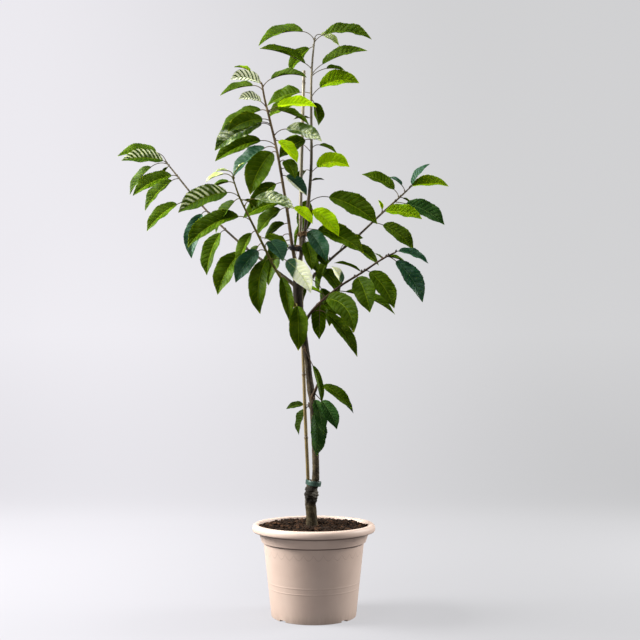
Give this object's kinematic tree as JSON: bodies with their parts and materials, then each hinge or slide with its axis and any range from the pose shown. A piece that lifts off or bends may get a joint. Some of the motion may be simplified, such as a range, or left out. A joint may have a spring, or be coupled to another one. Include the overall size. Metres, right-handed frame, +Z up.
{
  "type": "potted columnar cherry tree",
  "caption": "Young columnar cherry tree in a round nursery pot, tied to a cane, with a grafted trunk, upright leaders, side branches and serrated drooping leaves.",
  "frame": {"origin": "middle of the pot's underside, on the ground", "axes": "+Z up along the tree, -Y towards the front, +X to the right"},
  "size_m": [0.8325, 0.3564, 1.3914],
  "materials": {
    "pot": "matte pinkish taupe moulded plastic",
    "soil": "dark crumbly potting compost of peat and bark",
    "bark": "dull brown bark",
    "cane": "pale dry bamboo",
    "graft_tape": "green grafting tape",
    "fork_tie": "black rubber tie",
    "twine": "brown dry twine",
    "leaf": "semi-gloss green leaves on slim stems"
  },
  "bodies": {
    "root": {"pot": "pot", "soil": "soil", "trunk": "bark", "cane": "cane", "graft_tape": "graft_tape", "fork_tie": "fork_tie", "twine": "twine", "right_leader": "leaf", "left_leader": "leaf", "inner_shoot": "leaf", "left_branch": "leaf", "upper_right_branch": "leaf", "lower_right_branch": "leaf", "low_spur_right": "leaf", "low_spur_left": "leaf", "trunk_shoot": "leaf"}
  },
  "joints": []
}
